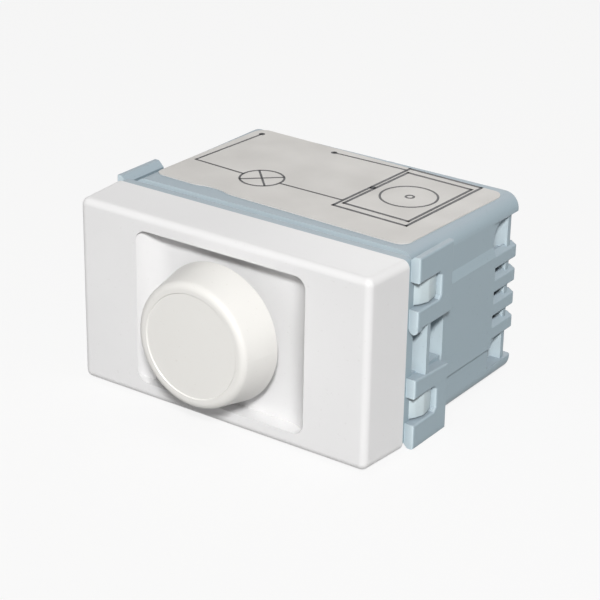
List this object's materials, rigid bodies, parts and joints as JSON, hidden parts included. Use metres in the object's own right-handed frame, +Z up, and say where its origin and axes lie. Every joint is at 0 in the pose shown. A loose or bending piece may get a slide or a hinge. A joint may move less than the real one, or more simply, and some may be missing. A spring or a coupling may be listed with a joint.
{
  "type": "dimmer switch module",
  "caption": "Flush-box dimmer module: rotary knob in a sunk front panel, side snap blocks, vented rear housing, potentiometer, triac board and screw terminals.",
  "frame": {"origin": "middle of the module's footprint on the surface it lies on, halfway between the knob's front and the rear ribs", "axes": "+X along the long side of the front, to the right seen from the front; +Y from the knob to the rear; +Z up"},
  "size_m": [0.0446, 0.0394, 0.0243],
  "materials": {
    "front_cover": "white moulded cover, satin gloss",
    "knob": "warm white moulded knob, satin",
    "case_blue_grey": "pale blue-grey moulded housing, fine matt",
    "label": "pale printed paper label",
    "board": "paper phenolic circuit board",
    "zinc_plate": "zinc-plated steel",
    "shaft": "turned aluminium",
    "laminate": "phenolic wafer with carbon track",
    "dark_plastic": "black moulded plastic",
    "contact": "nickelled brass",
    "tinned_lead": "tinned wire",
    "heat_sink": "mill-finish aluminium",
    "screw": "zinc-plated screw",
    "capacitor_case": "moulded film capacitor",
    "ferrite": "dark ferrite",
    "copper_wire": "enamelled copper wire",
    "fuse_glass": "clear glass tube",
    "resistor_coat": "lacquered resistor",
    "diac_glass": "glass diode body"
  },
  "bodies": {
    "housing": {"axial_leads": "tinned_lead", "capacitor_leads": "tinned_lead", "case_screws": "screw", "choke_core": "ferrite", "choke_winding": "copper_wire", "circuit_board": "board", "clip_frame": "case_blue_grey", "diac": "diac_glass", "front_cover": "front_cover", "fuse_caps": "tinned_lead", "fuse_clips": "contact", "fuse_tube": "fuse_glass", "heat_sink": "heat_sink", "heat_sink_screw": "screw", "lock_washer": "zinc_plate", "pot_base": "zinc_plate", "pot_bushing": "zinc_plate", "pot_can": "zinc_plate", "pot_nut": "zinc_plate", "pot_terminals": "zinc_plate", "pot_track": "laminate", "rear_housing": "case_blue_grey", "resistors": "resistor_coat", "suppression_capacitor": "capacitor_case", "switch_case": "dark_plastic", "switch_pins": "zinc_plate", "terminal_block": "dark_plastic", "terminal_cages": "contact", "timing_capacitor": "capacitor_case", "triac": "dark_plastic", "triac_leads": "tinned_lead", "wiring_label": "label"},
    "knob": {"knob": "knob", "pot_shaft": "shaft", "shaft_clip": "zinc_plate", "pot_rotor": "dark_plastic", "wiper_contact": "contact"},
    "plate_left": {"terminal_plate_left": "screw"},
    "plate_right": {"terminal_plate_right": "screw"},
    "screw_left": {"terminal_screw_left": "screw"},
    "screw_right": {"terminal_screw_right": "screw"}
  },
  "joints": [
    {"name": "knob_turn", "type": "hinge", "parent": "housing", "child": "knob", "pos_m": [0, -0.0144, 0.01217], "axis": [0, 1, 0], "range_deg": [0, 300]},
    {"name": "clamp_left", "type": "slide", "parent": "housing", "child": "plate_left", "axis": [0, 0, 1], "range_m": [0, 0.0035]},
    {"name": "screw_turn_left", "type": "hinge", "parent": "plate_left", "child": "screw_left", "pos_m": [-0.00385, 0.0092, 0.00517], "axis": [0, 0, 1], "range_deg": [0, 2520]},
    {"name": "clamp_right", "type": "slide", "parent": "housing", "child": "plate_right", "axis": [0, 0, 1], "range_m": [0, 0.0035]},
    {"name": "screw_turn_right", "type": "hinge", "parent": "plate_right", "child": "screw_right", "pos_m": [0.00385, 0.0092, 0.00517], "axis": [0, 0, 1], "range_deg": [0, 2520]}
  ],
  "couplings": [
    {"joint": "screw_turn_left", "follows": "clamp_left", "rad_per_m": 12566},
    {"joint": "screw_turn_right", "follows": "clamp_right", "rad_per_m": 12566}
  ]
}
